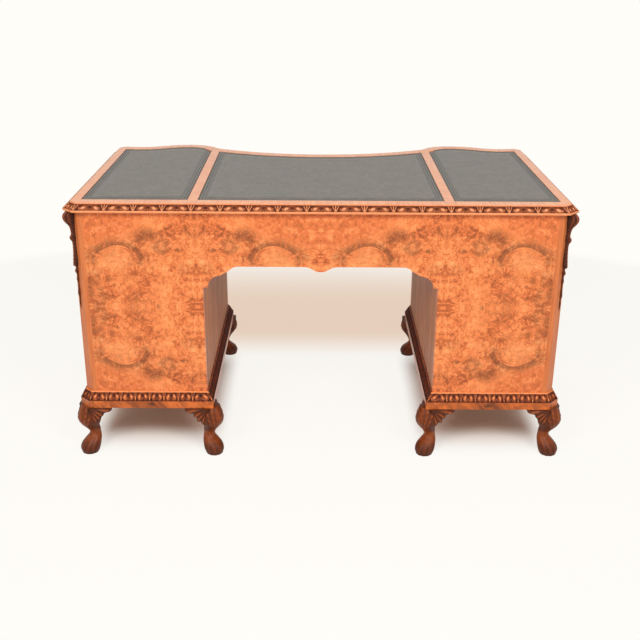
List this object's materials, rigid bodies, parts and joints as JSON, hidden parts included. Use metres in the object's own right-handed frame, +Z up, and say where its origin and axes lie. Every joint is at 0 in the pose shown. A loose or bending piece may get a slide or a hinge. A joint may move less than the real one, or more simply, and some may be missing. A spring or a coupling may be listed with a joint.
{
  "type": "kneehole desk",
  "caption": "Freestanding kneehole desk with serpentine drawer fronts, leather-inset top, carved mouldings and corner drops, drop handles and short cabriole legs.",
  "frame": {"origin": "on the floor, under the middle of the desk's whole width and depth", "axes": "+Z up, +Y out of the drawer side towards the sitter, +X to the right seen from the finished back"},
  "size_m": [1.4494, 0.8675, 0.77],
  "materials": {
    "burr_walnut": "French polished burr walnut veneer",
    "walnut": "French polished straight-grained walnut",
    "carved_walnut": "carved and stained walnut with worn highlights",
    "crossbanding": "crossbanded walnut border, polished",
    "leather": "skiver with blind-tooled lines",
    "oak": "planed oak linings",
    "brass": "cast and polished brass, slightly dulled"
  },
  "bodies": {
    "carcass": {"top_board": "oak", "top_border": "crossbanding", "leather_left": "leather", "leather_centre": "leather", "leather_right": "leather", "top_moulding": "carved_walnut", "back_panel": "burr_walnut", "centre_rails": "walnut", "pedestal_floors": "oak", "drawer_runners": "oak", "corner_carvings": "carved_walnut", "kneehole_panel_left": "walnut", "end_panel_left": "burr_walnut", "corner_posts_left": "walnut", "drawer_rails_left": "walnut", "base_band_left": "walnut", "base_moulding_left": "carved_walnut", "leg_left_back_outer": "carved_walnut", "leg_left_back_inner": "carved_walnut", "leg_left_front_outer": "carved_walnut", "leg_left_front_inner": "carved_walnut", "kneehole_panel_right": "walnut", "end_panel_right": "burr_walnut", "corner_posts_right": "walnut", "drawer_rails_right": "walnut", "base_band_right": "walnut", "base_moulding_right": "carved_walnut", "leg_right_back_outer": "carved_walnut", "leg_right_back_inner": "carved_walnut", "leg_right_front_outer": "carved_walnut", "leg_right_front_inner": "carved_walnut"},
    "drawer_left_upper": {"drawer_front_left_upper": "burr_walnut", "drawer_box_left_upper": "oak", "drawer_fittings_left_upper": "brass"},
    "handle_left_upper": {"drawer_handle_left_upper": "brass"},
    "drawer_left_middle": {"drawer_front_left_middle": "burr_walnut", "drawer_box_left_middle": "oak", "drawer_fittings_left_middle": "brass"},
    "handle_left_middle": {"drawer_handle_left_middle": "brass"},
    "drawer_left_lower": {"drawer_front_left_lower": "burr_walnut", "drawer_box_left_lower": "oak", "drawer_fittings_left_lower": "brass"},
    "handle_left_lower": {"drawer_handle_left_lower": "brass"},
    "drawer_right_upper": {"drawer_front_right_upper": "burr_walnut", "drawer_box_right_upper": "oak", "drawer_fittings_right_upper": "brass"},
    "handle_right_upper": {"drawer_handle_right_upper": "brass"},
    "drawer_right_middle": {"drawer_front_right_middle": "burr_walnut", "drawer_box_right_middle": "oak", "drawer_fittings_right_middle": "brass"},
    "handle_right_middle": {"drawer_handle_right_middle": "brass"},
    "drawer_right_lower": {"drawer_front_right_lower": "burr_walnut", "drawer_box_right_lower": "oak", "drawer_fittings_right_lower": "brass"},
    "handle_right_lower": {"drawer_handle_right_lower": "brass"},
    "drawer_centre": {"drawer_front_centre": "burr_walnut", "drawer_box_centre": "oak", "drawer_fittings_centre": "brass"},
    "handle_centre_left": {"drawer_handle_centre_left": "brass"},
    "handle_centre_right": {"drawer_handle_centre_right": "brass"}
  },
  "joints": [
    {"name": "drawer_left_upper_slide", "type": "slide", "parent": "carcass", "child": "drawer_left_upper", "axis": [0, 1, 0], "range_m": [0, 0.42]},
    {"name": "handle_left_upper_swing", "type": "hinge", "parent": "drawer_left_upper", "child": "handle_left_upper", "pos_m": [-0.51801, 0.41695, 0.68732], "axis": [0.9538, 0.3005, 0], "range_deg": [0, 90]},
    {"name": "drawer_left_middle_slide", "type": "slide", "parent": "carcass", "child": "drawer_left_middle", "axis": [0, 1, 0], "range_m": [0, 0.42]},
    {"name": "handle_left_middle_swing", "type": "hinge", "parent": "drawer_left_middle", "child": "handle_left_middle", "pos_m": [-0.51801, 0.41695, 0.52681], "axis": [0.9538, 0.3005, 0], "range_deg": [0, 90]},
    {"name": "drawer_left_lower_slide", "type": "slide", "parent": "carcass", "child": "drawer_left_lower", "axis": [0, 1, 0], "range_m": [0, 0.42]},
    {"name": "handle_left_lower_swing", "type": "hinge", "parent": "drawer_left_lower", "child": "handle_left_lower", "pos_m": [-0.51801, 0.41695, 0.32282], "axis": [0.9538, 0.3005, 0], "range_deg": [0, 90]},
    {"name": "drawer_right_upper_slide", "type": "slide", "parent": "carcass", "child": "drawer_right_upper", "axis": [0, 1, 0], "range_m": [0, 0.42]},
    {"name": "handle_right_upper_swing", "type": "hinge", "parent": "drawer_right_upper", "child": "handle_right_upper", "pos_m": [0.51801, 0.41695, 0.68732], "axis": [0.9538, -0.3005, 0], "range_deg": [0, 90]},
    {"name": "drawer_right_middle_slide", "type": "slide", "parent": "carcass", "child": "drawer_right_middle", "axis": [0, 1, 0], "range_m": [0, 0.42]},
    {"name": "handle_right_middle_swing", "type": "hinge", "parent": "drawer_right_middle", "child": "handle_right_middle", "pos_m": [0.51801, 0.41695, 0.52681], "axis": [0.9538, -0.3005, 0], "range_deg": [0, 90]},
    {"name": "drawer_right_lower_slide", "type": "slide", "parent": "carcass", "child": "drawer_right_lower", "axis": [0, 1, 0], "range_m": [0, 0.42]},
    {"name": "handle_right_lower_swing", "type": "hinge", "parent": "drawer_right_lower", "child": "handle_right_lower", "pos_m": [0.51801, 0.41695, 0.32282], "axis": [0.9538, -0.3005, 0], "range_deg": [0, 90]},
    {"name": "drawer_centre_slide", "type": "slide", "parent": "carcass", "child": "drawer_centre", "axis": [0, 1, 0], "range_m": [0, 0.42]},
    {"name": "handle_centre_left_swing", "type": "hinge", "parent": "drawer_centre", "child": "handle_centre_left", "pos_m": [-0.18604, 0.3007, 0.68732], "axis": [0.9646, -0.2639, 0], "range_deg": [0, 90]},
    {"name": "handle_centre_right_swing", "type": "hinge", "parent": "drawer_centre", "child": "handle_centre_right", "pos_m": [0.18604, 0.3007, 0.68732], "axis": [0.9646, 0.2639, 0], "range_deg": [0, 90]}
  ]
}
